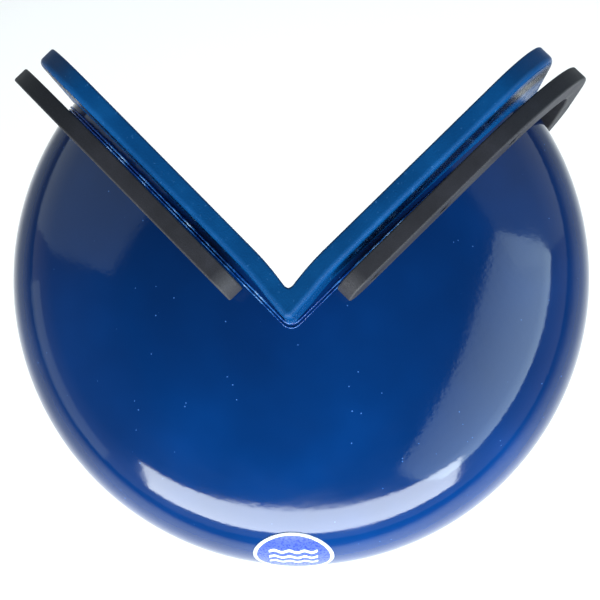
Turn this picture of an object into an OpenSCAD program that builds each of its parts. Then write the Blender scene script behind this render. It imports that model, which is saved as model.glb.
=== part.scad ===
// Inflatable corner fender for a dock or pontoon.
// The dock's corner fills the quadrant x < 0, y > 0, and its vertical edge is the Z axis.
// One page of the mounting flange lies on the face x = 0, the other on the face y = 0.
// The second page and everything on it is the first one mirrored in the line y = -x.

/* [Air chamber] */
// Diameter of the ball at its widest
body_d = 286; // [240:1:340]
// Height of the ball over its top and bottom
body_h = 140; // [128:1:180]
// Radius of the ball's side, seen in section
side_r = 50; // [38:1:60]
// Wall of the soft shell
shell_wall = 4; // [3:0.5:6]
// How far the notch's corner lies in front of the ball's axis
notch_ahead = 16; // [8:1:30]

/* [Mounting flange] */
// Thickness of each page
flange_t = 9; // [6:0.5:12]
// Radius inside and outside the bend between the pages
bend_r = 3; // [1:0.5:5]
// Radius of the pages' outer corners
page_corner_r = 34; // [20:1:50]
// How far the pages end short of the plates
page_short = 17; // [4:1:18]

/* [Clamp plates] */
// Thickness of a plate
plate_t = 8; // [4:0.5:10]
// Width of a plate's legs above and below the ball
leg_w = 23; // [18:1:30]
// Width of the bar that joins the legs beyond the ball
bar_w = 12; // [6:0.5:14]
// Space between the ball and a plate's legs
leg_clear = 2; // [0.5:0.5:5]
// Space between the ball and a plate's bar
bar_clear = 9; // [7:1:14]
// Radius of the plates' outer corners
plate_corner_r = 79; // [65:1:85]
// Radius of the opening's two corners
opening_corner_r = 58; // [40:1:64]
// Space between page and plate, before the screws are drawn up
plate_gap = 5.5; // [0.5:0.5:8]
// Distance from the notch's corner to the ends of a plate's legs
leg_start = 14; // [10:1:25]

/* [Screw holes] */
// Diameter of the screw holes
screw_d = 7; // [4:0.5:9]
// Distance from the notch's corner to the first hole in each leg
screw_first = 30; // [26:1:40]
// Distance from each hole in a leg to the next
screw_step = 42; // [34:1:46]

/* [Valve] */
// Distance from the notch's corner to the valve, towards the front
valve_ahead = 60; // [50:1:75]
// Diameter of the valve seat's head
seat_d = 28; // [26:1:34]
// Thickness of the valve seat's head
seat_head_t = 4.4; // [4:0.1:6]
// Diameter of the valve seat's barrel
barrel_d = 18; // [16:0.5:20]
// Depth of the whole valve seat
barrel_l = 18; // [16:0.5:24]
// How far the seat and the plug lie below the ball's surface
valve_sink = 0.6; // [0.4:0.1:1.5]
// Diameter of the bore for the plug
plug_bore_d = 11; // [9:0.5:12]
// Diameter of the plug's head
plug_head_d = 17.2; // [16:0.1:18]
// Thickness of the plug's head
plug_head_t = 2.2; // [1.8:0.1:3]
// Length of the plug's shank below its head
plug_shank_l = 9.2; // [7:0.1:10]
// Thickness of the plug's seal
plug_seal_t = 1; // [0.6:0.1:1.6]
// Running clearance between the plug and its bore
plug_fit = 0.05; // [0.02:0.01:0.1]
// Width of the slot in the plug's head
slot_w = 1.8; // [1:0.1:2.5]
// Diameter of the rubber umbrella that keeps the air in
umbrella_d = 12; // [11:0.5:13]
// Diameter of each air port under the umbrella
port_d = 2.4; // [1.5:0.1:2.6]

/* [Label] */
// Diameter of the label
label_d = 38; // [25:1:45]
// Thickness of the label's film
label_t = 0.3; // [0.2:0.1:0.5]
// Height of the label's middle over the ball's widest line
label_rise = 25; // [10:1:28]

/* [Hidden] */
$fn = 96;
eps = 0.5;

// The ball's section is an oval: a side arc, and a top arc that meets it without a corner.
side_x = body_d / 2 - side_r;
top_rise = body_h / 2 - side_r;
top_drop = (pow(side_x, 2) - pow(top_rise, 2)) / (2 * top_rise);
top_r = body_h / 2 + top_drop;
arcs_meet = side_x * top_r / (top_r - side_r);

// Offsets of the ball's axis from the flange's outer faces, and the ball's reach along a page.
axis_off = notch_ahead / sqrt(2);
ball_reach = axis_off + sqrt(pow(body_d / 2, 2) - pow(axis_off + flange_t, 2));

// A plate's opening clears the ball, and the pages end a little short of the plates.
open_half_h = body_h / 2 + leg_clear;
open_end = ball_reach + bar_clear;
rim_half_h = open_half_h + leg_w;
rim_end = open_end + bar_w;
page_end = rim_end - page_short;
leg_mid = open_half_h + leg_w / 2;
leg_screws = 3;
far = 2 * body_d;

// Heights in the valve, from the ball's surface, positive outwards.
head_top = -valve_sink;
head_low = head_top - plug_head_t;
seal_low = head_low - plug_seal_t;
seat_low = head_top - seat_head_t;
shank_low = head_low - plug_shank_l;
web_t = 2;
web_top = shank_low - 1.2;
barrel_low = head_top - barrel_l;
glue = 0.1;
boss_wall = 4;
valve_tilt = asin((notch_ahead + valve_ahead) / top_r);
stem_r = 1.5;
ports = 4;
port_ring_r = umbrella_d / 2 - port_d / 2 - 0.8;
label_tilt = asin(label_rise / side_r);

// Half of the ball's section, all faces moved inwards by inset.
module ball_section(inset) {
  intersection() {
    union() {
      intersection() {
        translate([0, -top_drop]) circle(r = top_r - inset, $fn = 240);
        translate([0, top_drop]) circle(r = top_r - inset, $fn = 240);
        translate([0, -body_h]) square([arcs_meet * (1 - inset / top_r), 2 * body_h]);
      }
      translate([side_x, 0]) circle(r = side_r - inset);
    }
    translate([0, -body_h]) square([body_d, 2 * body_h]);
  }
}

module ball(inset = 0) {
  translate([-axis_off, axis_off, 0])
    rotate_extrude($fn = 180) ball_section(inset);
}

// Everything on the dock's side of a line that lies off outside both dock faces.
module dock_side(off) {
  translate([-far, -off, -far]) cube([far + off, far + off, 2 * far]);
}

// A page's outline: u runs along the page from the corner, v is the height.
module page_outline(half_h, start, end, corner_r) {
  translate([start, -half_h]) square([end - corner_r - start, 2 * half_h]);
  translate([start, corner_r - half_h]) square([end - start, 2 * (half_h - corner_r)]);
  for (side = [-1, 1])
    translate([end - corner_r, side * (half_h - corner_r)]) circle(r = corner_r);
}

// Stands an outline up on the page at x = off, t thick.
module on_page(off, t) {
  translate([off, 0, 0]) rotate([90, 0, 90]) linear_extrude(t) children();
}

module other_page() {
  mirror([1, 1, 0]) children();
}

// Centres of the screw holes of one page.
module at_screws() {
  for (side = [-1, 1], i = [0 : leg_screws - 1])
    translate([screw_first + i * screw_step, side * leg_mid]) children();
}

module screw_holes(off, t) {
  on_page(off - eps, t + 2 * eps) at_screws() circle(d = screw_d);
}

// Origin on the ball's surface at the valve, +Z pointing out of the ball.
module at_valve() {
  translate([-axis_off, axis_off, top_drop])
    rotate([0, 0, -45])
      rotate([0, 180 - valve_tilt, 0])
        translate([0, 0, top_r]) children();
}

// A cylinder between two heights of the valve.
module rod(d, low, high) {
  translate([0, 0, low]) cylinder(d = d, h = high - low);
}

module fender_shell() {
  color([0.02, 0.12, 0.45])
    difference() {
      union() {
        difference() {
          ball();
          ball(shell_wall);
        }
        intersection() {
          ball();
          at_valve() rod(seat_d + 2 * boss_wall, seat_low - boss_wall, 2);
        }
      }
      dock_side(flange_t);
      at_valve() rod(seat_d + 2 * glue, seat_low - glue, 5);
      at_valve() rod(barrel_d + 2 * glue, barrel_low - 2, 0);
    }
}

module flange_page() {
  difference() {
    on_page(0, flange_t) page_outline(rim_half_h, -flange_t, page_end, page_corner_r);
    screw_holes(0, flange_t);
  }
}

module corner_flange() {
  color([0.03, 0.16, 0.5])
    difference() {
      union() {
        flange_page();
        other_page() flange_page();
        translate([-bend_r, 0, -rim_half_h])
          difference() {
            cube([bend_r, bend_r, 2 * rim_half_h]);
            translate([0, bend_r, -eps]) cylinder(r = bend_r, h = 2 * rim_half_h + 2 * eps);
          }
      }
      translate([flange_t - bend_r, -flange_t - eps, -rim_half_h - eps])
        difference() {
          cube([bend_r + eps, bend_r + eps, 2 * rim_half_h + 2 * eps]);
          translate([0, bend_r + eps, -eps])
            cylinder(r = bend_r, h = 2 * rim_half_h + 4 * eps);
        }
    }
}

// A horseshoe that stands around the ball, open towards the corner, with round leg ends.
module clamp_plate() {
  difference() {
    on_page(flange_t + plate_gap, plate_t) {
      difference() {
        page_outline(rim_half_h, leg_start + leg_w / 2, rim_end, plate_corner_r);
        page_outline(open_half_h, 0, open_end, opening_corner_r);
      }
      for (side = [-1, 1])
        translate([leg_start + leg_w / 2, side * leg_mid]) circle(d = leg_w);
    }
    screw_holes(flange_t + plate_gap, plate_t);
  }
}

module clamp_plate_right() {
  color([0.16, 0.16, 0.17]) clamp_plate();
}

module clamp_plate_left() {
  color([0.16, 0.16, 0.17]) other_page() clamp_plate();
}

module label() {
  color([0.9, 0.9, 0.93])
    difference() {
      intersection() {
        ball(-label_t);
        translate([-axis_off, axis_off, 0])
          rotate([0, 0, -45])
            translate([side_x, 0, 0])
              rotate([0, 90 - label_tilt, 0])
                cylinder(d = label_d, h = 2 * side_r);
      }
      ball();
    }
}

module valve_seat() {
  color([0.1, 0.1, 0.11])
    at_valve()
      difference() {
        union() {
          rod(seat_d, seat_low, head_top);
          rod(barrel_d, barrel_low, seat_low);
        }
        rod(plug_head_d + 0.8, seal_low, head_top + eps);
        rod(plug_bore_d, web_top, seal_low + eps);
        rod(umbrella_d + 2, barrel_low - eps, web_top - web_t);
        rod(2 * (stem_r + glue), barrel_low - eps, web_top + eps);
        for (i = [0 : ports - 1])
          rotate([0, 0, 360 * i / ports]) translate([port_ring_r, 0, 0])
            rod(port_d, barrel_low - eps, web_top + eps);
      }
}

// Rubber umbrella under the web: its stem is pulled through, and a bead holds it there.
module check_umbrella() {
  color([0.08, 0.08, 0.08])
    at_valve() {
      rod(umbrella_d, web_top - web_t - 1, web_top - web_t);
      rod(2 * stem_r, web_top - web_t - 1, web_top + 0.6);
      rod(2 * stem_r + 1, web_top, web_top + 0.6);
    }
}

module plug_seal() {
  color([0.07, 0.07, 0.07])
    at_valve()
      difference() {
        rod(plug_head_d - 1, seal_low, head_low);
        rod(plug_bore_d, seal_low - eps, head_low + eps);
      }
}

module valve_plug() {
  color([0.12, 0.12, 0.13])
    at_valve()
      difference() {
        union() {
          rod(plug_head_d, head_low, head_top);
          rod(plug_bore_d - 2 * plug_fit, shank_low, head_low);
        }
        translate([-plug_head_d * 0.35, -slot_w / 2, head_top - 1.2])
          cube([plug_head_d * 0.7, slot_w, 2]);
      }
}

fender_shell();
corner_flange();
clamp_plate_right();
clamp_plate_left();
label();
valve_seat();
check_umbrella();
plug_seal();
valve_plug();
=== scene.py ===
import math
import bmesh
import bpy
from mathutils import Matrix, Vector


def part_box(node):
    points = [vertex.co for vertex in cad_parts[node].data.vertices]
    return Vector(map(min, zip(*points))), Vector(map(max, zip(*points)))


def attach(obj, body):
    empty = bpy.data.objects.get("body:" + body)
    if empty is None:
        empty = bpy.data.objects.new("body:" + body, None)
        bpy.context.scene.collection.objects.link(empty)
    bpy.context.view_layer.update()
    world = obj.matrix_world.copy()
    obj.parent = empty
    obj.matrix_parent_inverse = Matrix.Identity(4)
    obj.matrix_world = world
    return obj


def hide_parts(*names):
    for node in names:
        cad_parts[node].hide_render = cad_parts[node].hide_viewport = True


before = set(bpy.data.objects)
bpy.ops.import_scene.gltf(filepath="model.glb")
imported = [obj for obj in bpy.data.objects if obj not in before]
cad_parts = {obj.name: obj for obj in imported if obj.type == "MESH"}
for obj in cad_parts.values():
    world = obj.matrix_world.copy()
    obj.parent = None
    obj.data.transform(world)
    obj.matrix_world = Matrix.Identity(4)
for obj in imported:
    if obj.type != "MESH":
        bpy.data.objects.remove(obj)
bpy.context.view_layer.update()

# ---------------------------------------------------------------- sizes, in metres
MM = 0.001
BALL_R = 143 * MM          # widest radius of the air chamber
BALL_HALF_H = 70 * MM
SIDE_R = 50 * MM           # side arc of its oval section
CORNER_AHEAD = 16 * MM     # notch corner in front of the chamber's axis
FLANGE_T = 9 * MM
BEND_R = 3 * MM
PAGE_CORNER_R = 34 * MM
PLATE_CORNER_R = 79 * MM
PLATE_GAP = 5.5 * MM
PLATE_T = 8 * MM
LEG_START = 14 * MM
LEG_W = 23 * MM
LEG_CLEAR = 2 * MM
BAR_W = 12 * MM
OPENING_CORNER_R = 58 * MM
SCREW_D = 7 * MM
SCREW_FIRST = 30 * MM
SCREW_STEP = 42 * MM
LABEL_D = 38 * MM
LABEL_T = 0.3 * MM
LABEL_RISE = 25 * MM
VALVE_AHEAD = 60 * MM
SEAT_D = 28 * MM
SEAT_HEAD_T = 4.4 * MM
VALVE_SINK = 0.6 * MM
GLUE = 0.1 * MM            # gap around the valve seat in its recess
WELD_CORNER_R = 5 * MM
WELD_BEADS = (("weld_bead_inner", 2.6 * MM, 0.5 * MM),   # name, distance off the flange, radius
              ("weld_bead_outer", 4.0 * MM, 0.35 * MM))
CORNER_SAG = 3.0 * MM      # the soft flange is pressed in at its corner
CORNER_SAG_REACH = 20 * MM
FLANGE_SLICE = 5 * MM      # spacing of the edge loops that let the flange bend
FLANGE_SLICES = 11
EDGE_ROUND = 0.9 * MM      # worn edge of the flange's dock side and of the plates
BALL_EDGE_ROUND = 2.8 * MM    # the flange's softer edge, towards the ball
TIP_SHY = 0.02 * MM        # keeps a sliver of flat between the two corners of a leg's tip
FLOOR_DROP = 0.32          # the fender hangs over the floor, as it does in use
FLOOR_HALF = 4.0

AXIS_OFF = CORNER_AHEAD / math.sqrt(2)
SIDE_X = BALL_R - SIDE_R
TOP_RISE = BALL_HALF_H - SIDE_R
TOP_DROP = (SIDE_X ** 2 - TOP_RISE ** 2) / (2 * TOP_RISE)
TOP_R = BALL_HALF_H + TOP_DROP
CHAMBER_AXIS = Vector((-AXIS_OFF, AXIS_OFF, 0))

RIM_HALF_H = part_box("corner_flange")[1].z
PAGE_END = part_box("corner_flange")[1].y
PLATE_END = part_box("clamp_plate_right")[1].y
OPEN_HALF_H = BALL_HALF_H + LEG_CLEAR
LEG_MID = (RIM_HALF_H + OPEN_HALF_H) / 2
OPEN_END = PLATE_END - BAR_W

FRONT = Vector((1, -1, 0)).normalized()    # from the dock's corner outwards
RIGHT = Vector((1, 1, 0)).normalized()
UP = Vector((0, 0, 1))
ARCS_MEET = math.asin(SIDE_X / (TOP_R - SIDE_R))    # tilt where the top and side arcs join


# ---------------------------------------------------------------- helpers
def paint(hex_colour):
    """An sRGB hex colour as linear RGBA."""
    channels = [int(hex_colour[i:i + 2], 16) / 255 for i in (1, 3, 5)]
    return [c / 12.92 if c <= 0.04045 else ((c + 0.055) / 1.055) ** 2.4
            for c in channels] + [1.0]


def add(tree, kind, inputs=None, **settings):
    """Adds a node. Inputs are values, or sockets to link from."""
    node = tree.nodes.new(kind)
    for name, value in settings.items():
        setattr(node, name, value)
    for key, value in (inputs or {}).items():
        if isinstance(value, bpy.types.NodeSocket):
            tree.links.new(value, node.inputs[key])
        else:
            node.inputs[key].default_value = value
    return node


def ramp(tree, factor, stops):
    """A colour ramp whose stops are (place, linear colour or grey)."""
    node = add(tree, "ShaderNodeValToRGB", {"Fac": factor})
    while len(node.color_ramp.elements) < len(stops):
        node.color_ramp.elements.new(1.0)
    for element, (place, colour) in zip(node.color_ramp.elements, stops):
        element.position = place
        element.color = colour if isinstance(colour, list) else [colour] * 3 + [1.0]
    return node.outputs["Color"]


def new_material(name):
    material = bpy.data.materials.new(name)
    material.use_nodes = True
    tree = material.node_tree
    shader = tree.nodes["Principled BSDF"]
    return material, tree, shader


def bake(piece):
    """Applies a piece's modifiers to its mesh."""
    shape = bpy.data.meshes.new_from_object(
        piece.evaluated_get(bpy.context.evaluated_depsgraph_get()))
    piece.modifiers.clear()
    old = piece.data
    piece.data = shape
    bpy.data.meshes.remove(old)


def finish_mesh(bm, name, smooth_angle=32):
    """Makes an object of a bmesh, smooth but for the edges sharper than smooth_angle."""
    for face in bm.faces:
        face.smooth = True
    shape = bpy.data.meshes.new(name)
    bm.to_mesh(shape)
    bm.free()
    shape.set_sharp_from_angle(angle=math.radians(smooth_angle))
    piece = bpy.data.objects.new(name, shape)
    bpy.context.scene.collection.objects.link(piece)
    return piece


def install(piece, body, slot, material, *nodes):
    piece.data.materials.clear()
    piece.data.materials.append(material)
    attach(piece, body)
    if nodes:
        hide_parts(*nodes)
    return piece


def to_left_page(bm):
    """Mirrors a right-page shape onto the left page."""
    bmesh.ops.transform(bm, verts=bm.verts, matrix=Matrix((
        (0, -1, 0, 0), (-1, 0, 0, 0), (0, 0, 1, 0), (0, 0, 0, 1))))
    bmesh.ops.reverse_faces(bm, faces=bm.faces)


def cut_away(piece, bm):
    """Cuts the solid in bm out of a piece."""
    shape = bpy.data.meshes.new("cutter")
    bm.to_mesh(shape)
    bm.free()
    cutter = bpy.data.objects.new("cutter", shape)
    bpy.context.scene.collection.objects.link(cutter)
    modifier = piece.modifiers.new("cut", "BOOLEAN")
    modifier.operation = "DIFFERENCE"
    modifier.solver = "EXACT"
    modifier.object = cutter
    bpy.context.view_layer.update()
    bake(piece)
    bpy.data.objects.remove(cutter)
    bpy.data.meshes.remove(shape)


def round_off(bm, edges, radius, segments):
    bmesh.ops.bevel(bm, geom=edges, offset=radius, offset_type="OFFSET",
                    segments=segments, profile=0.5, affect="EDGES", material=-1,
                    clamp_overlap=False)


def thicken(bm, faces, vec):
    """Extrudes flat faces by vec into a closed solid."""
    raised = bmesh.ops.extrude_face_region(bm, geom=faces)
    bmesh.ops.translate(bm, vec=vec,
                        verts=[v for v in raised["geom"] if isinstance(v, bmesh.types.BMVert)])
    bmesh.ops.recalc_face_normals(bm, faces=bm.faces)


def keep_flats_flat(piece):
    """Weights the normals by face area, so that rounded edges don't shade the flats."""
    modifier = piece.modifiers.new("flats", "WEIGHTED_NORMAL")
    modifier.keep_sharp = True
    bpy.context.view_layer.update()
    bake(piece)


def page_drills(on_left):
    """One page's six screw drills, through the page and its plate."""
    bm = bmesh.new()
    for side in (-1, 1):
        for i in range(3):
            place = Matrix.Translation((FLANGE_T, SCREW_FIRST + i * SCREW_STEP,
                                        side * LEG_MID))
            bmesh.ops.create_cone(
                bm, cap_ends=True, segments=32, radius1=SCREW_D / 2,
                radius2=SCREW_D / 2, depth=60 * MM,
                matrix=place @ Matrix.Rotation(math.pi / 2, 4, "Y"))
    if on_left:
        to_left_page(bm)
    return bm


def turned(profile, steps):
    """A closed solid turned about Z from a few (radius, height) points, end to end."""
    bm = bmesh.new()
    verts = [bm.verts.new((r, 0, z)) for r, z in profile]
    edges = [bm.edges.new(pair) for pair in zip(verts, verts[1:])]
    bmesh.ops.spin(bm, geom=verts + edges, cent=(0, 0, 0), axis=(0, 0, 1),
                   angle=2 * math.pi, steps=steps, use_merge=True)
    bmesh.ops.remove_doubles(bm, verts=bm.verts, dist=1e-6)
    bmesh.ops.recalc_face_normals(bm, faces=bm.faces)
    return bm


# ---------------------------------------------------------------- materials
def glossy_pvc():
    # Plasticised PVC, cast in a polished mould: a clear wet-looking gloss over deep
    # blue, a faint orange peel, and a little dust and hairline rubbing.
    material, tree, shader = new_material("glossy_plasticised_pvc_deep_blue")
    place = add(tree, "ShaderNodeTexCoord").outputs["Object"]
    cloudy = add(tree, "ShaderNodeTexNoise",
                 {"Vector": place, "Scale": 14.0, "Detail": 3.0, "Roughness": 0.5})
    tint = ramp(tree, cloudy.outputs["Fac"],
                [(0.30, paint("#012353")), (0.55, paint("#01295e")), (0.75, paint("#02306b"))])
    # dust: specks of about 0.3 mm, thinly sown
    specks = add(tree, "ShaderNodeTexVoronoi", {"Vector": place, "Scale": 260.0})
    sown = add(tree, "ShaderNodeTexNoise", {"Vector": place, "Scale": 95.0, "Detail": 1.0})
    near = add(tree, "ShaderNodeMath", {0: specks.outputs["Distance"], 1: 0.085},
               operation="LESS_THAN")
    some = add(tree, "ShaderNodeMath", {0: sown.outputs["Fac"], 1: 0.60},
               operation="GREATER_THAN")
    dust = add(tree, "ShaderNodeMath", {0: near.outputs[0], 1: some.outputs[0]},
               operation="MULTIPLY")
    dusty = add(tree, "ShaderNodeMix", {"Factor": dust.outputs[0], "A": tint,
                                        "B": paint("#3a66a8")}, data_type="RGBA")
    # rubbing: long soft streaks, rougher than the rest
    streaked = add(tree, "ShaderNodeMapping", {"Vector": place, "Scale": (1.0, 1.0, 7.0),
                                               "Rotation": (0.5, 0.3, 0.8)})
    rubbed = add(tree, "ShaderNodeTexNoise", {"Vector": streaked.outputs[0],
                                              "Scale": 30.0, "Detail": 6.0})
    rough = add(tree, "ShaderNodeMapRange", {
        "Value": rubbed.outputs["Fac"], "From Min": 0.35, "From Max": 0.75,
        "To Min": 0.06, "To Max": 0.13})
    peel = add(tree, "ShaderNodeTexNoise", {"Vector": place, "Scale": 420.0, "Detail": 2.0})
    swell = add(tree, "ShaderNodeTexNoise", {"Vector": place, "Scale": 22.0, "Detail": 1.0})
    height = add(tree, "ShaderNodeMath", {0: swell.outputs["Fac"], 1: 4.0,
                                          2: peel.outputs["Fac"]}, operation="MULTIPLY_ADD")
    bump = add(tree, "ShaderNodeBump", {"Height": height.outputs[0], "Strength": 0.06,
                                        "Distance": 0.0004})
    tree.links.new(dusty.outputs["Result"], shader.inputs["Base Color"])
    tree.links.new(rough.outputs[0], shader.inputs["Roughness"])
    tree.links.new(bump.outputs[0], shader.inputs["Normal"])
    shader.inputs["IOR"].default_value = 1.46
    return material


def satin_pvc():
    # The same PVC in the thick mounting flange: glossy faces, a satin rim, slightly wavy.
    material, tree, shader = new_material("satin_plasticised_pvc_blue")
    place = add(tree, "ShaderNodeTexCoord").outputs["Object"]
    cloudy = add(tree, "ShaderNodeTexNoise",
                 {"Vector": place, "Scale": 40.0, "Detail": 5.0, "Roughness": 0.6})
    tint = ramp(tree, cloudy.outputs["Fac"],
                [(0.30, paint("#043a6b")), (0.55, paint("#054175")), (0.75, paint("#094a80"))])
    scuffs = add(tree, "ShaderNodeMapping", {"Vector": place, "Scale": (1.0, 1.0, 0.12),
                                             "Rotation": (0.0, 0.2, 0.3)})
    scuffed = add(tree, "ShaderNodeTexNoise", {"Vector": scuffs.outputs[0],
                                               "Scale": 600.0, "Detail": 3.0})
    paler = ramp(tree, scuffed.outputs["Fac"], [(0.66, 0.0), (0.78, 0.35)])
    worn = add(tree, "ShaderNodeMix", {"Factor": paler, "A": tint, "B": paint("#4d86c0")},
               data_type="RGBA")
    # the two faces of each page keep the mould's gloss, and only the rim is satin
    facing = add(tree, "ShaderNodeSeparateXYZ", {
        0: add(tree, "ShaderNodeTexCoord").outputs["Normal"]}).outputs["Z"]
    rimward = add(tree, "ShaderNodeMath", {0: facing}, operation="ABSOLUTE")
    satin = add(tree, "ShaderNodeMapRange", {
        "Value": rimward.outputs[0], "From Min": 0.1, "From Max": 0.5,
        "To Min": 0.14, "To Max": 0.36})
    rough = add(tree, "ShaderNodeMath", {0: cloudy.outputs["Fac"], 1: 0.12,
                                         2: satin.outputs[0]}, operation="MULTIPLY_ADD")
    wave = add(tree, "ShaderNodeTexNoise", {"Vector": place, "Scale": 55.0, "Detail": 1.0})
    grain = add(tree, "ShaderNodeTexNoise", {"Vector": place, "Scale": 1400.0, "Detail": 2.0})
    height = add(tree, "ShaderNodeMath", {0: wave.outputs["Fac"], 1: 6.0,
                                          2: grain.outputs["Fac"]}, operation="MULTIPLY_ADD")
    bump = add(tree, "ShaderNodeBump", {"Height": height.outputs[0], "Strength": 0.25,
                                        "Distance": 0.0005})
    tree.links.new(worn.outputs["Result"], shader.inputs["Base Color"])
    tree.links.new(rough.outputs[0], shader.inputs["Roughness"])
    tree.links.new(bump.outputs[0], shader.inputs["Normal"])
    shader.inputs["IOR"].default_value = 1.46
    shader.inputs["Specular IOR Level"].default_value = 0.14
    return material


def weld_pvc():
    # PVC melted out of the weld: glossy, with pale patches painted into its colour as glints
    # (painted highlight).
    material, tree, shader = new_material("pvc_weld_bead_painted_glints")
    place = add(tree, "ShaderNodeTexCoord").outputs["Object"]
    painted_glint_patches = add(tree, "ShaderNodeTexNoise",
                 {"Vector": place, "Scale": 130.0, "Detail": 4.0, "Roughness": 0.6})
    # the pale stops are painted highlight: glints along the weld line, painted into the bead's
    # colour
    tint = ramp(tree, painted_glint_patches.outputs["Fac"],
                [(0.42, paint("#023074")), (0.56, paint("#2f6cb0")), (0.70, paint("#9cc0e6"))])
    ripple = add(tree, "ShaderNodeTexNoise", {"Vector": place, "Scale": 700.0, "Detail": 2.0})
    bump = add(tree, "ShaderNodeBump", {"Height": ripple.outputs["Fac"], "Strength": 0.4,
                                        "Distance": 0.0003})
    tree.links.new(tint, shader.inputs["Base Color"])
    tree.links.new(bump.outputs[0], shader.inputs["Normal"])
    shader.inputs["Roughness"].default_value = 0.18
    shader.inputs["IOR"].default_value = 1.46
    return material


def plate_polypropylene():
    # Injection-moulded polypropylene, dark grey: matt, with a fine spark-eroded grain
    # and paler edges, partly rubbed wear and partly painted highlight along the chamfers.
    material, tree, shader = new_material("matt_grained_polypropylene_dark_grey")
    coordinates = add(tree, "ShaderNodeTexCoord")
    place = coordinates.outputs["Object"]
    cloudy = add(tree, "ShaderNodeTexNoise",
                 {"Vector": place, "Scale": 60.0, "Detail": 6.0, "Roughness": 0.65})
    tint = ramp(tree, cloudy.outputs["Fac"],
                [(0.30, paint("#201f26")), (0.55, paint("#27262e")), (0.75, paint("#2f2e38"))])
    grain = add(tree, "ShaderNodeTexNoise", {"Vector": place, "Scale": 2200.0, "Detail": 2.0})
    speckle = ramp(tree, grain.outputs["Fac"], [(0.35, 0.75), (0.7, 1.25)])
    grained = add(tree, "ShaderNodeMix", {"Factor": 1.0, "A": tint, "B": speckle},
                  data_type="RGBA", blend_type="MULTIPLY")
    # convex edges painted paler: partly rubbed wear, partly painted highlight on the chamfers
    edge = add(tree, "ShaderNodeNewGeometry").outputs["Pointiness"]
    edge_wear_and_painted_highlight = ramp(tree, edge, [(0.52, 0.0), (0.60, 0.6)])
    worn = add(tree, "ShaderNodeMix", {"Factor": edge_wear_and_painted_highlight, "A": grained.outputs["Result"],
                                       "B": paint("#6f6e6c")}, data_type="RGBA")
    rough = add(tree, "ShaderNodeMapRange", {
        "Value": cloudy.outputs["Fac"], "From Min": 0.3, "From Max": 0.7,
        "To Min": 0.48, "To Max": 0.62})
    bump = add(tree, "ShaderNodeBump", {"Height": grain.outputs["Fac"], "Strength": 0.35,
                                        "Distance": 0.0002})
    tree.links.new(worn.outputs["Result"], shader.inputs["Base Color"])
    tree.links.new(rough.outputs[0], shader.inputs["Roughness"])
    tree.links.new(bump.outputs[0], shader.inputs["Normal"])
    shader.inputs["IOR"].default_value = 1.49
    shader.inputs["Specular IOR Level"].default_value = 0.16
    return material


def printed_film():
    # Self-adhesive vinyl film, screen printed: an indigo disc in a white border, with
    # three plain white wave lines as a generic mark.
    material, tree, shader = new_material("printed_vinyl_film")
    place = add(tree, "ShaderNodeTexCoord").outputs["UV"]
    centred = add(tree, "ShaderNodeVectorMath", {0: place, 1: (0.5, 0.5, 0.0)},
                  operation="SUBTRACT")
    radius = add(tree, "ShaderNodeVectorMath", {0: centred.outputs[0]}, operation="LENGTH")
    axes = add(tree, "ShaderNodeSeparateXYZ", {0: centred.outputs[0]})

    def maths(operation, first, second=0.0, third=0.0):
        return add(tree, "ShaderNodeMath", {0: first, 1: second, 2: third},
                   operation=operation).outputs[0]
    inside = maths("LESS_THAN", radius.outputs["Value"], 0.455)
    ripple = maths("SINE", maths("MULTIPLY", axes.outputs["X"], 34.0))
    level = maths("MULTIPLY_ADD", ripple, 0.022, axes.outputs["Y"])
    steps = maths("ABSOLUTE", maths("SUBTRACT", maths("FRACT", maths(
        "MULTIPLY_ADD", level, 7.0, 0.5)), 0.5))
    line = maths("LESS_THAN", steps, 0.2)
    middle = maths("LESS_THAN", maths("ABSOLUTE", level), 0.21)
    across = maths("LESS_THAN", maths("ABSOLUTE", axes.outputs["X"]), 0.30)
    mark = maths("MULTIPLY", maths("MULTIPLY", line, middle), across)
    object_place = add(tree, "ShaderNodeTexCoord").outputs["Object"]
    mottle = add(tree, "ShaderNodeTexNoise", {"Vector": object_place, "Scale": 900.0,
                                              "Detail": 2.0})
    indigo = ramp(tree, mottle.outputs["Fac"],
                  [(0.3, paint("#2a3f9c")), (0.7, paint("#3f54b4"))])
    white = ramp(tree, mottle.outputs["Fac"],
                 [(0.3, paint("#cfd6ea")), (0.7, paint("#e2e6f2"))])
    filled = add(tree, "ShaderNodeMix", {"Factor": inside, "A": white, "B": indigo},
                 data_type="RGBA")
    printed = add(tree, "ShaderNodeMix", {"Factor": mark, "A": filled.outputs["Result"],
                                          "B": white}, data_type="RGBA")
    rough = add(tree, "ShaderNodeMapRange", {
        "Value": mottle.outputs["Fac"], "To Min": 0.22, "To Max": 0.34})
    bump = add(tree, "ShaderNodeBump", {"Height": mottle.outputs["Fac"], "Strength": 0.08,
                                        "Distance": 0.0002})
    tree.links.new(printed.outputs["Result"], shader.inputs["Base Color"])
    tree.links.new(rough.outputs[0], shader.inputs["Roughness"])
    tree.links.new(bump.outputs[0], shader.inputs["Normal"])
    return material


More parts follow.
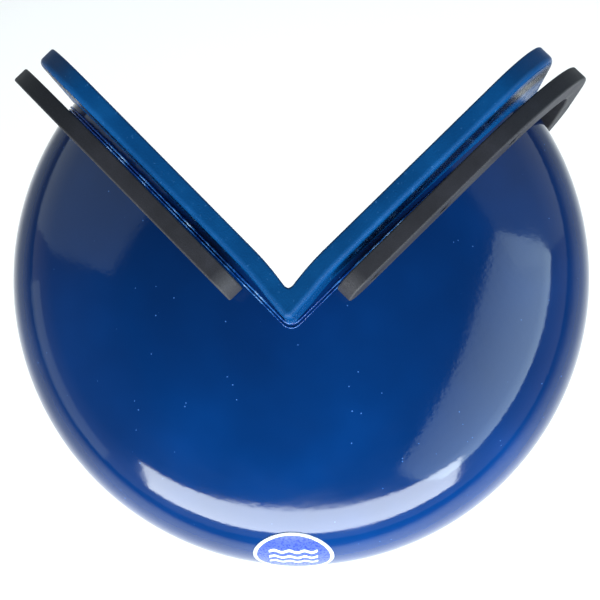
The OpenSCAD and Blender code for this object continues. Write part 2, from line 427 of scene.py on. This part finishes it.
def moulded_black(name, dark, light, rough_low, rough_high, grain_scale):
    # A dark moulded polymer: a slight mottle, fine grain and rubbed high spots.
    material, tree, shader = new_material(name)
    place = add(tree, "ShaderNodeTexCoord").outputs["Object"]
    cloudy = add(tree, "ShaderNodeTexNoise",
                 {"Vector": place, "Scale": 180.0, "Detail": 5.0, "Roughness": 0.6})
    tint = ramp(tree, cloudy.outputs["Fac"], [(0.35, paint(dark)), (0.7, paint(light))])
    grain = add(tree, "ShaderNodeTexNoise", {"Vector": place, "Scale": grain_scale,
                                             "Detail": 2.0})
    rough = add(tree, "ShaderNodeMapRange", {
        "Value": cloudy.outputs["Fac"], "From Min": 0.3, "From Max": 0.7,
        "To Min": rough_low, "To Max": rough_high})
    bump = add(tree, "ShaderNodeBump", {"Height": grain.outputs["Fac"], "Strength": 0.3,
                                        "Distance": 0.0002})
    tree.links.new(tint, shader.inputs["Base Color"])
    tree.links.new(rough.outputs[0], shader.inputs["Roughness"])
    tree.links.new(bump.outputs[0], shader.inputs["Normal"])
    return material


SHELL_PVC = glossy_pvc()
FLANGE_PVC = satin_pvc()
WELD_PVC = weld_pvc()
PLATE_PP = plate_polypropylene()
LABEL_FILM = printed_film()
VALVE_PA = moulded_black("moulded_nylon_black", "#17181a", "#26272a", 0.32, 0.5, 2600.0)
VALVE_EPDM = moulded_black("moulded_epdm_rubber_black", "#101011", "#1c1c1d", 0.6, 0.8, 1800.0)


# ---------------------------------------------------------------- air chamber
def chamber_section(bm):
    """Half of the chamber's oval section, from pole to pole, in the plane y = 0."""
    last = bm.verts.new((0, 0, BALL_HALF_H))
    for centre, angle, steps in (((0, 0, -TOP_DROP), ARCS_MEET, 22),
                                 ((SIDE_X, 0, 0), math.pi - 2 * ARCS_MEET, 60),
                                 ((0, 0, TOP_DROP), ARCS_MEET, 22)):
        bmesh.ops.spin(bm, geom=[last], cent=centre, axis=(0, 1, 0),
                       angle=angle, steps=steps)
        bm.verts.ensure_lookup_table()
        last = bm.verts[-1]
    return list(bm.verts) + list(bm.edges)


def on_page_side(face):
    """True for a face on the dock's side of the flange's outer faces."""
    middle = face.calc_center_median()
    return middle.x < FLANGE_T and middle.y > -FLANGE_T


def chamber_solid():
    bm = bmesh.new()
    bmesh.ops.spin(bm, geom=chamber_section(bm), cent=(0, 0, 0), axis=(0, 0, 1),
                   angle=2 * math.pi, steps=216, use_merge=True)
    bmesh.ops.remove_doubles(bm, verts=bm.verts, dist=1e-6)
    bmesh.ops.translate(bm, verts=bm.verts, vec=CHAMBER_AXIS)
    for plane, normal, reaches in (
            ((0, -FLANGE_T, 0), (0, 1, 0), lambda p: p.x < FLANGE_T + 6 * MM),
            ((FLANGE_T, 0, 0), (1, 0, 0), lambda p: p.y > -FLANGE_T - 1e-6)):
        faces = [f for f in bm.faces if all(reaches(v.co) for v in f.verts)]
        edges = {e for f in faces for e in f.edges}
        verts = {v for f in faces for v in f.verts}
        bmesh.ops.bisect_plane(bm, geom=list(verts) + list(edges) + faces,
                               plane_co=plane, plane_no=normal, dist=1e-7)
    bmesh.ops.delete(bm, geom=[f for f in bm.faces if on_page_side(f)], context="FACES")
    rim = [e for e in bm.edges if e.is_boundary]
    corner = [v for v in {v for e in rim for v in e.verts}
              if (v.co - Vector((FLANGE_T, -FLANGE_T, v.co.z))).length < 1e-6]
    spine = bm.edges.new(corner)
    for inside in (lambda e: all(abs(v.co.x - FLANGE_T) < 1e-6 for v in e.verts),
                   lambda e: all(abs(v.co.y + FLANGE_T) < 1e-6 for v in e.verts)):
        bmesh.ops.edgeloop_fill(bm, edges=[e for e in rim if inside(e)] + [spine])
    bmesh.ops.recalc_face_normals(bm, faces=bm.faces)
    return bm


def valve_frame():
    """Origin on the chamber's surface at the valve, +Z out of the chamber."""
    tilt = math.asin((CORNER_AHEAD + VALVE_AHEAD) / TOP_R)
    return (Matrix.Translation(CHAMBER_AXIS + Vector((0, 0, TOP_DROP)))
            @ Matrix.Rotation(-math.pi / 4, 4, "Z")
            @ Matrix.Rotation(math.pi - tilt, 4, "Y")
            @ Matrix.Translation((0, 0, TOP_R)))


def chamber_skin():
    piece = finish_mesh(chamber_solid(), "chamber_skin", 40)
    depth = VALVE_SINK + SEAT_HEAD_T + GLUE
    recess = bmesh.new()
    bmesh.ops.create_cone(recess, cap_ends=True, segments=96,
                          radius1=SEAT_D / 2 + GLUE, radius2=SEAT_D / 2 + GLUE,
                          depth=2 * depth, matrix=valve_frame())
    cut_away(piece, recess)
    return install(piece, "fender", "shell_pvc", SHELL_PVC, "fender_shell")


# ---------------------------------------------------------------- weld
def weld_bead(name, off, radius):
    """A glossy bead of melted PVC along the chamber, off from the dock's faces."""
    arm = []
    top_arc = [ARCS_MEET * i / 24 for i in range(25)]
    side_arc = [ARCS_MEET + (math.pi / 2 - ARCS_MEET) * i / 30 for i in range(1, 31)]
    half = [(TOP_R * math.sin(a), TOP_R * math.cos(a) - TOP_DROP) for a in top_arc]
    half += [(SIDE_X + SIDE_R * math.sin(a), SIDE_R * math.cos(a)) for a in side_arc]
    for rho, z in half:
        inside = rho ** 2 - (off + AXIS_OFF) ** 2
        if inside > 0 and AXIS_OFF + math.sqrt(inside) > -off:
            arm.append((AXIS_OFF + math.sqrt(inside), z))
    arm = [(u, z) for u, z in arm if u > WELD_CORNER_R - off]
    turn = []
    for i in range(9):
        angle = math.pi / 2 * i / 8
        x = off - WELD_CORNER_R * (1 - math.cos(angle))
        y = -off + WELD_CORNER_R * (1 - math.sin(angle))
        from_axis = math.hypot(x + AXIS_OFF, y - AXIS_OFF)
        turn.append((x, y, math.sqrt(TOP_R ** 2 - from_axis ** 2) - TOP_DROP))
    right_arm = [(off, u, z) for u, z in arm]
    left_arm = [(-u, -off, z) for u, z in arm]
    top = right_arm[::-1] + turn + left_arm
    loop = top + [(x, y, -z) for x, y, z in reversed(top[1:-1])]
    curve = bpy.data.curves.new(name, "CURVE")
    curve.dimensions = "3D"
    curve.bevel_depth = radius
    curve.bevel_resolution = 2
    spline = curve.splines.new("POLY")
    spline.points.add(len(loop) - 1)
    for point, place in zip(spline.points, loop):
        point.co = (*place, 1.0)
    spline.use_cyclic_u = True
    wire = bpy.data.objects.new(name, curve)
    bpy.context.scene.collection.objects.link(wire)
    bpy.context.view_layer.update()
    shape = bpy.data.meshes.new_from_object(
        wire.evaluated_get(bpy.context.evaluated_depsgraph_get()))
    bpy.data.objects.remove(wire)
    for face in shape.polygons:
        face.use_smooth = True
    piece = bpy.data.objects.new(name, shape)
    bpy.context.scene.collection.objects.link(piece)
    return install(piece, "fender", "shell_pvc", WELD_PVC)


# ---------------------------------------------------------------- flange
def flange_skin():
    bm = bmesh.new()
    outline = [(FLANGE_T, -FLANGE_T), (FLANGE_T, PAGE_END), (0, PAGE_END), (0, 0),
               (-PAGE_END, 0), (-PAGE_END, -FLANGE_T)]
    floor = bm.faces.new([bm.verts.new((x, y, -RIM_HALF_H)) for x, y in outline])
    thicken(bm, [floor], (0, 0, 2 * RIM_HALF_H))

    def run(edge):
        return (edge.verts[0].co - edge.verts[1].co).normalized()

    def middle(edge):
        return (edge.verts[0].co + edge.verts[1].co) / 2

    round_off(bm, [e for e in bm.edges if e.calc_length() < 1.01 * FLANGE_T
                   and abs(run(e).z) < 0.1], PAGE_CORNER_R, 28)
    round_off(bm, [e for e in bm.edges if abs(run(e).z) > 0.9
                   and max(abs(middle(e).x), abs(middle(e).y)) < 1.01 * FLANGE_T], BEND_R, 6)

    def is_rim(face):
        at, normal = face.calc_center_median(), face.normal
        if abs(normal.z) > 0.99:
            return True
        if at.y > 2 * FLANGE_T:
            return abs(normal.x) < 0.01
        if at.x < -2 * FLANGE_T:
            return abs(normal.y) < 0.01
        return False

    def perimeter(ball_side):
        return [e for e in bm.edges if len(e.link_faces) == 2
                and is_rim(e.link_faces[0]) != is_rim(e.link_faces[1])
                and (max(middle(e).x, -middle(e).y) > FLANGE_T / 2) == ball_side]
    ball_edges, dock_edges = perimeter(True), perimeter(False)
    round_off(bm, dock_edges, EDGE_ROUND, 3)
    round_off(bm, [e for e in ball_edges if e.is_valid], BALL_EDGE_ROUND, 5)
    for i in range(1, FLANGE_SLICES + 1):
        far = i * FLANGE_SLICE
        for plane, normal in (((0, far, 0), (0, 1, 0)), ((-far, 0, 0), (1, 0, 0))):
            bmesh.ops.bisect_plane(bm, geom=bm.verts[:] + bm.edges[:] + bm.faces[:],
                                   plane_co=plane, plane_no=normal, dist=1e-7)
    for vert in bm.verts:
        along = max(vert.co.y, -vert.co.x, 0) / CORNER_SAG_REACH
        if along < 1:
            vert.co += FRONT * CORNER_SAG * (1 - along) ** 2
    bmesh.ops.recalc_face_normals(bm, faces=bm.faces)
    piece = finish_mesh(bm, "flange_skin", 30)
    drills, left = page_drills(False), page_drills(True)
    both = bpy.data.meshes.new("drills")
    left.to_mesh(both)
    left.free()
    drills.from_mesh(both)
    bpy.data.meshes.remove(both)
    cut_away(piece, drills)
    keep_flats_flat(piece)
    return install(piece, "fender", "flange_pvc", FLANGE_PVC, "corner_flange")


# ---------------------------------------------------------------- clamp plates
def clamp_plate(name, body, node, on_left):
    """A horseshoe around the ball. Everything is shaped on the right page first."""
    near = FLANGE_T + PLATE_GAP
    bm = bmesh.new()
    # the rim's and the opening's outlines, bridged to a horseshoe of quads
    for end, half, radius in ((PLATE_END, RIM_HALF_H, PLATE_CORNER_R),
                              (OPEN_END, OPEN_HALF_H, OPENING_CORNER_R)):
        verts = [bm.verts.new((near, u, v)) for u, v in
                 ((LEG_START, half), (end, half), (end, -half), (LEG_START, -half))]
        for pair in zip(verts, verts[1:]):
            bm.edges.new(pair)
        bmesh.ops.bevel(bm, geom=verts[1:3], offset=radius, offset_type="OFFSET",
                        segments=32, profile=0.5, affect="VERTICES", material=-1,
                        clamp_overlap=False)
    bmesh.ops.bridge_loops(bm, edges=bm.edges[:])
    thicken(bm, bm.faces[:], (PLATE_T, 0, 0))
    leg_corners = [e for e in bm.edges
                   if abs(e.verts[0].co.x - e.verts[1].co.x) > 0.9 * PLATE_T
                   and e.verts[0].co.y < LEG_START + MM]
    round_off(bm, leg_corners, LEG_W / 2 - TIP_SHY, 12)
    flats = [f for f in bm.faces if abs(f.normal.x) > 0.99]
    round_off(bm, [e for e in bm.edges if len(e.link_faces) == 2
                   and (e.link_faces[0] in flats) != (e.link_faces[1] in flats)],
              EDGE_ROUND, 3)
    bmesh.ops.recalc_face_normals(bm, faces=bm.faces)
    if on_left:
        to_left_page(bm)
    piece = finish_mesh(bm, name, 30)
    cut_away(piece, page_drills(on_left))
    keep_flats_flat(piece)
    return install(piece, body, "plate_plastic", PLATE_PP, node)


# ---------------------------------------------------------------- label
def label_film():
    """The sticker's disc, wrapped onto the chamber and one film thick."""
    tilt = math.asin(LABEL_RISE / SIDE_R)
    centre = CHAMBER_AXIS + FRONT * SIDE_X
    out = FRONT * math.cos(tilt) + UP * math.sin(tilt)
    along = RIGHT.cross(out)
    if along.z < 0:
        along = -along
    bm = turned([(LABEL_D / 2 * i / 14, 0) for i in range(15)], 72)
    chart = bm.loops.layers.uv.new("print")
    for face in bm.faces:
        for loop in face.loops:
            loop[chart].uv = (0.5 + loop.vert.co.x / LABEL_D, 0.5 + loop.vert.co.y / LABEL_D)
    for vert in bm.verts:
        flat, reach = vert.co.copy(), SIDE_R
        for _ in range(8):
            at = centre + RIGHT * flat.x + along * flat.y + out * reach
            from_axis = Vector((at.x + AXIS_OFF, at.y - AXIS_OFF, 0)).length
            reach += SIDE_R + LABEL_T - math.hypot(from_axis - SIDE_X, at.z)
        vert.co = at
    bmesh.ops.recalc_face_normals(bm, faces=bm.faces)
    if sum((f.normal.dot(out) for f in bm.faces)) < 0:
        bmesh.ops.reverse_faces(bm, faces=bm.faces)
    piece = finish_mesh(bm, "label_film", 40)
    wall = piece.modifiers.new("film", "SOLIDIFY")
    wall.thickness = LABEL_T
    wall.offset = -1
    bpy.context.view_layer.update()
    bake(piece)
    return install(piece, "fender", "label_film", LABEL_FILM, "label")


# ---------------------------------------------------------------- build
chamber_skin()
for bead_name, bead_off, bead_radius in WELD_BEADS:
    weld_bead(bead_name, FLANGE_T + bead_off, bead_radius)
flange_skin()
clamp_plate("plate_right", "right_plate", "clamp_plate_right", False)
clamp_plate("plate_left", "left_plate", "clamp_plate_left", True)
label_film()
for node, material in (("valve_seat", VALVE_PA), ("valve_plug", VALVE_PA),
                       ("check_umbrella", VALVE_EPDM), ("plug_seal", VALVE_EPDM)):
    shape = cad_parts[node].data
    shape.materials.clear()
    shape.materials.append(material)


# ---------------------------------------------------------------- studio
def studio_floor():
    bm = bmesh.new()
    bmesh.ops.create_grid(bm, x_segments=1, y_segments=1, size=FLOOR_HALF,
                          matrix=Matrix.Translation(-FLOOR_DROP * UP))
    floor = finish_mesh(bm, "studio_floor")
    # Translucent acrylic of a light table, lit from below around the middle only.
    material, tree, shader = new_material("lit_acrylic_table")
    place = add(tree, "ShaderNodeTexCoord").outputs["Object"]
    from_middle = add(tree, "ShaderNodeVectorMath", {0: place}, operation="LENGTH")
    lit = add(tree, "ShaderNodeMapRange", {
        "Value": from_middle.outputs["Value"], "From Min": 0.46, "From Max": 0.72,
        "To Min": 0.5, "To Max": 0.0}, interpolation_type="SMOOTHSTEP")
    tree.links.new(lit.outputs[0], shader.inputs["Emission Strength"])
    shader.inputs["Base Color"].default_value = paint("#b0b0b0")
    shader.inputs["Roughness"].default_value = 0.8
    shader.inputs["Emission Color"].default_value = paint("#ffffff")
    floor.data.materials.append(material)


DAY, COOL = (0.93, 1.0, 1.0), (0.68, 0.9, 1.0)


def softbox(name, place, target, width, height, radiance, colour, top_dim=1.0):
    """An even diffuser, or one that fades to top_dim of its strength at its top edge."""
    light = bpy.data.lights.new(name, "AREA")
    light.shape = "RECTANGLE"
    light.size, light.size_y = width, height
    light.energy = radiance * math.pi * width * height
    light.color = colour
    if top_dim < 1.0:
        light.use_nodes = True
        tree = light.node_tree
        across = add(tree, "ShaderNodeNewGeometry").outputs["Parametric"]
        rise = add(tree, "ShaderNodeSeparateXYZ", {0: across}).outputs["Y"]
        fade = add(tree, "ShaderNodeMapRange", {
            "Value": rise, "From Min": 0.0, "From Max": 1.0,
            "To Min": 1.0, "To Max": top_dim})
        tree.links.new(fade.outputs[0], tree.nodes["Emission"].inputs["Strength"])
    lamp = bpy.data.objects.new(name, light)
    lamp.location = place
    lamp.rotation_mode = "QUATERNION"
    lamp.rotation_quaternion = (Vector(target) - Vector(place)).to_track_quat("-Z", "Y")
    bpy.context.scene.collection.objects.link(lamp)


def studio():
    studio_floor()
    middle = UP * 0.05
    softbox("front_softbox", FRONT * 1.1 + UP * 0.45, middle, 1.95, 0.60, 14, DAY)
    softbox("right_softbox", RIGHT * 0.88 + FRONT * 0.34 + UP * 0.69, middle, 1.35, 0.54, 6.4, COOL,
            top_dim=0.3)
    softbox("left_panel", RIGHT * -1.1 + FRONT * 0.35 + UP * 0.05, middle, 0.9, 0.3, 0.7, COOL)
    softbox("back_left_panel", RIGHT * -0.9 + FRONT * -0.8 + UP * 0.5, middle, 1.4, 1.3, 0.7, COOL)
    softbox("back_right_panel", RIGHT * 0.9 + FRONT * -0.8 + UP * 0.45, middle, 1.4, 1.1, 0.5, COOL)
    world = bpy.data.worlds.new("studio_air")
    bpy.context.scene.world = world
    world.use_nodes = True
    tree = world.node_tree
    way = add(tree, "ShaderNodeTexCoord").outputs["Generated"]
    height = add(tree, "ShaderNodeSeparateXYZ", {0: way}).outputs["Z"]
    dim = ramp(tree, height, [(0.0, 0.45), (0.45, 0.16), (0.75, 0.05)])
    tree.links.new(dim, tree.nodes["Background"].inputs["Color"])
    tree.nodes["Background"].inputs["Strength"].default_value = 1.0


def camera():
    # Looks down on the fender from above its front, 0.59 m over the middle.
    lens = bpy.data.cameras.new("camera")
    lens.lens = 71.0
    lens.clip_end = 20.0
    stand = bpy.data.objects.new("camera", lens)
    stand.location = (0.0613, -0.0210, 0.588)
    stand.rotation_mode = "QUATERNION"
    stand.rotation_quaternion = (
        Matrix.Rotation(math.radians(45), 3, "Z")
        @ Matrix.Rotation(math.radians(5.96), 3, "X")
        @ Matrix.Rotation(math.radians(2.71), 3, "Y")
        @ Matrix.Rotation(math.radians(0.33), 3, "Z")).to_quaternion()
    bpy.context.scene.collection.objects.link(stand)
    bpy.context.scene.camera = stand


studio()
camera()
bpy.context.scene.view_settings.view_transform = "Standard"
